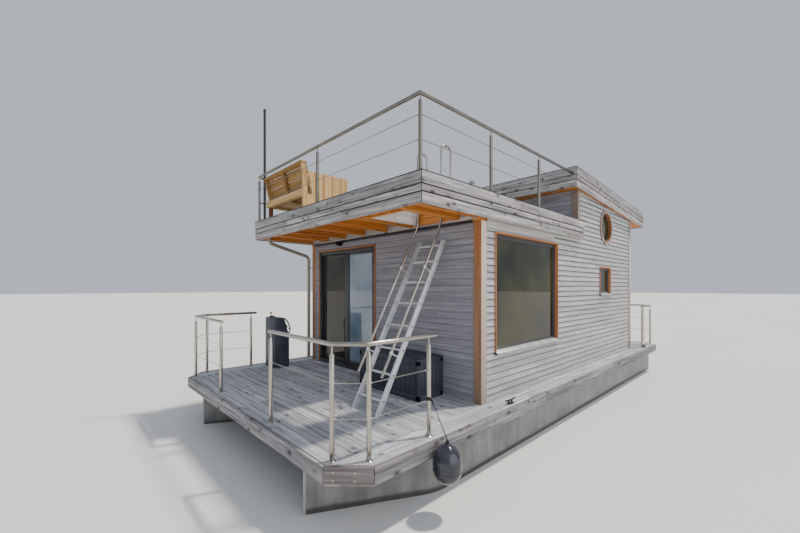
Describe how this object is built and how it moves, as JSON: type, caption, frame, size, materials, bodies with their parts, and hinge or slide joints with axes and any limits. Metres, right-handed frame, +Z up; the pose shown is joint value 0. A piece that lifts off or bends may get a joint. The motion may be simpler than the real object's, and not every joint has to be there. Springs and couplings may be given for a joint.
{
  "type": "houseboat with roof terrace on twin pontoons",
  "caption": "Timber-clad houseboat on two steel pontoons, with a roof terrace, sliding front door, helm stand, ladder, rails and a tilting outboard motor in the stern well.",
  "frame": {"origin": "under the middle of the deck, on the plane of the pontoon bottoms", "axes": "+X to port, +Y to the stern, +Z up; the bow and the sliding door face -Y"},
  "size_m": [4.9353, 9.81, 5.78],
  "materials": {
    "hull_steel": "weathered grey-blue coating",
    "deck_timber": "silvered by weather",
    "fascia_timber": "silvered by weather, knotty",
    "siding": "lilac-grey stain on lapped boards",
    "larch": "oiled",
    "pine": "raw sawn",
    "roof_panel": "oiled soffit with a dark membrane above",
    "door_metal": "matt anthracite powder coat",
    "glazing": "clear, reflecting",
    "stainless": "brushed",
    "ladder_aluminium": "mill finish",
    "anthracite_plastic": "moulded",
    "black_metal": "black powder coat",
    "zinc": "dull grey",
    "fender_vinyl": "smooth vinyl",
    "rope": "braided",
    "motor_cowl": "gloss",
    "motor_metal": "satin"
  },
  "bodies": {
    "boat": {"pontoon_port": "hull_steel", "pontoon_starboard": "hull_steel", "deck_frame": "hull_steel", "deck_boards": "deck_timber", "deck_edge": "fascia_timber", "wall_front": "siding", "wall_port": "siding", "wall_starboard": "siding", "wall_rear": "siding", "wall_clerestory": "siding", "front_post_port": "larch", "front_post_starboard": "larch", "rear_post_port": "larch", "rear_post_starboard": "larch", "upper_post_port": "larch", "upper_post_starboard": "larch", "terrace_roof": "larch", "terrace_fascia": "fascia_timber", "upper_roof": "roof_panel", "upper_fascia": "fascia_timber", "door_frame": "door_metal", "door_fixed_pane": "glazing", "picture_frame_port": "larch", "picture_frame_starboard": "larch", "picture_pane_port": "glazing", "picture_pane_starboard": "glazing", "small_frame_port": "larch", "small_frame_starboard": "larch", "small_pane_port": "glazing", "small_pane_starboard": "glazing", "round_frame_port": "larch", "round_frame_starboard": "larch", "round_pane_port": "glazing", "round_pane_starboard": "glazing", "rear_door_frame": "larch", "bow_rail_port": "stainless", "bow_rail_starboard": "stainless", "stern_rail_port": "stainless", "stern_rail_starboard": "stainless", "terrace_rail": "stainless", "ladder": "ladder_aluminium", "helm_console": "anthracite_plastic", "mast_pole": "black_metal", "downpipe": "zinc", "door_lamp": "black_metal", "deck_box": "anthracite_plastic", "terrace_bench": "pine", "fender": "fender_vinyl", "fender_lanyard": "rope", "outboard_mount": "hull_steel"},
    "sliding_leaf": {"door_leaf": "door_metal", "door_leaf_pane": "glazing"},
    "rear_leaf": {"rear_door": "door_metal"},
    "box_lid": {"deck_box_lid": "anthracite_plastic"},
    "helm_wheel": {"steering_wheel": "black_metal"},
    "motor_swivel": {"outboard_swivel": "motor_metal"},
    "motor": {"outboard_leg": "motor_metal", "outboard_cowl": "motor_cowl"},
    "screw": {"propeller": "motor_metal"}
  },
  "joints": [
    {"name": "sliding_door", "type": "slide", "parent": "boat", "child": "sliding_leaf", "axis": [1, 0, 0], "range_m": [0, 0.64]},
    {"name": "rear_door_hinge", "type": "hinge", "parent": "boat", "child": "rear_leaf", "pos_m": [-1.6, 3.609, 2.08], "axis": [0, 0, 1], "range_deg": [0, 110]},
    {"name": "deck_box_hinge", "type": "hinge", "parent": "boat", "child": "box_lid", "pos_m": [0.808, -2.662, 1.6043], "axis": [-1, 0, 0], "range_deg": [0, 85]},
    {"name": "motor_tilt", "type": "hinge", "parent": "boat", "child": "motor_swivel", "pos_m": [0, 4.515, 0.96], "axis": [1, 0, 0], "range_deg": [0, 65]},
    {"name": "motor_steering", "type": "hinge", "parent": "motor_swivel", "child": "motor", "pos_m": [0, 4.565, 0.8], "axis": [0, 0, 1], "range_deg": [-30, 30]},
    {"name": "propeller_spin", "type": "hinge", "parent": "motor", "child": "screw", "pos_m": [0, 4.86, 0.22], "axis": [0, 1, 0], "continuous": true},
    {"name": "helm_wheel_turn", "type": "hinge", "parent": "boat", "child": "helm_wheel", "pos_m": [-1.89, -3.29, 1.8], "axis": [0, 0.9554, 0.2953], "range_deg": [-540, 540]}
  ],
  "couplings": [
    {"joint": "helm_wheel_turn", "follows": "motor_steering", "ratio": -18}
  ]
}
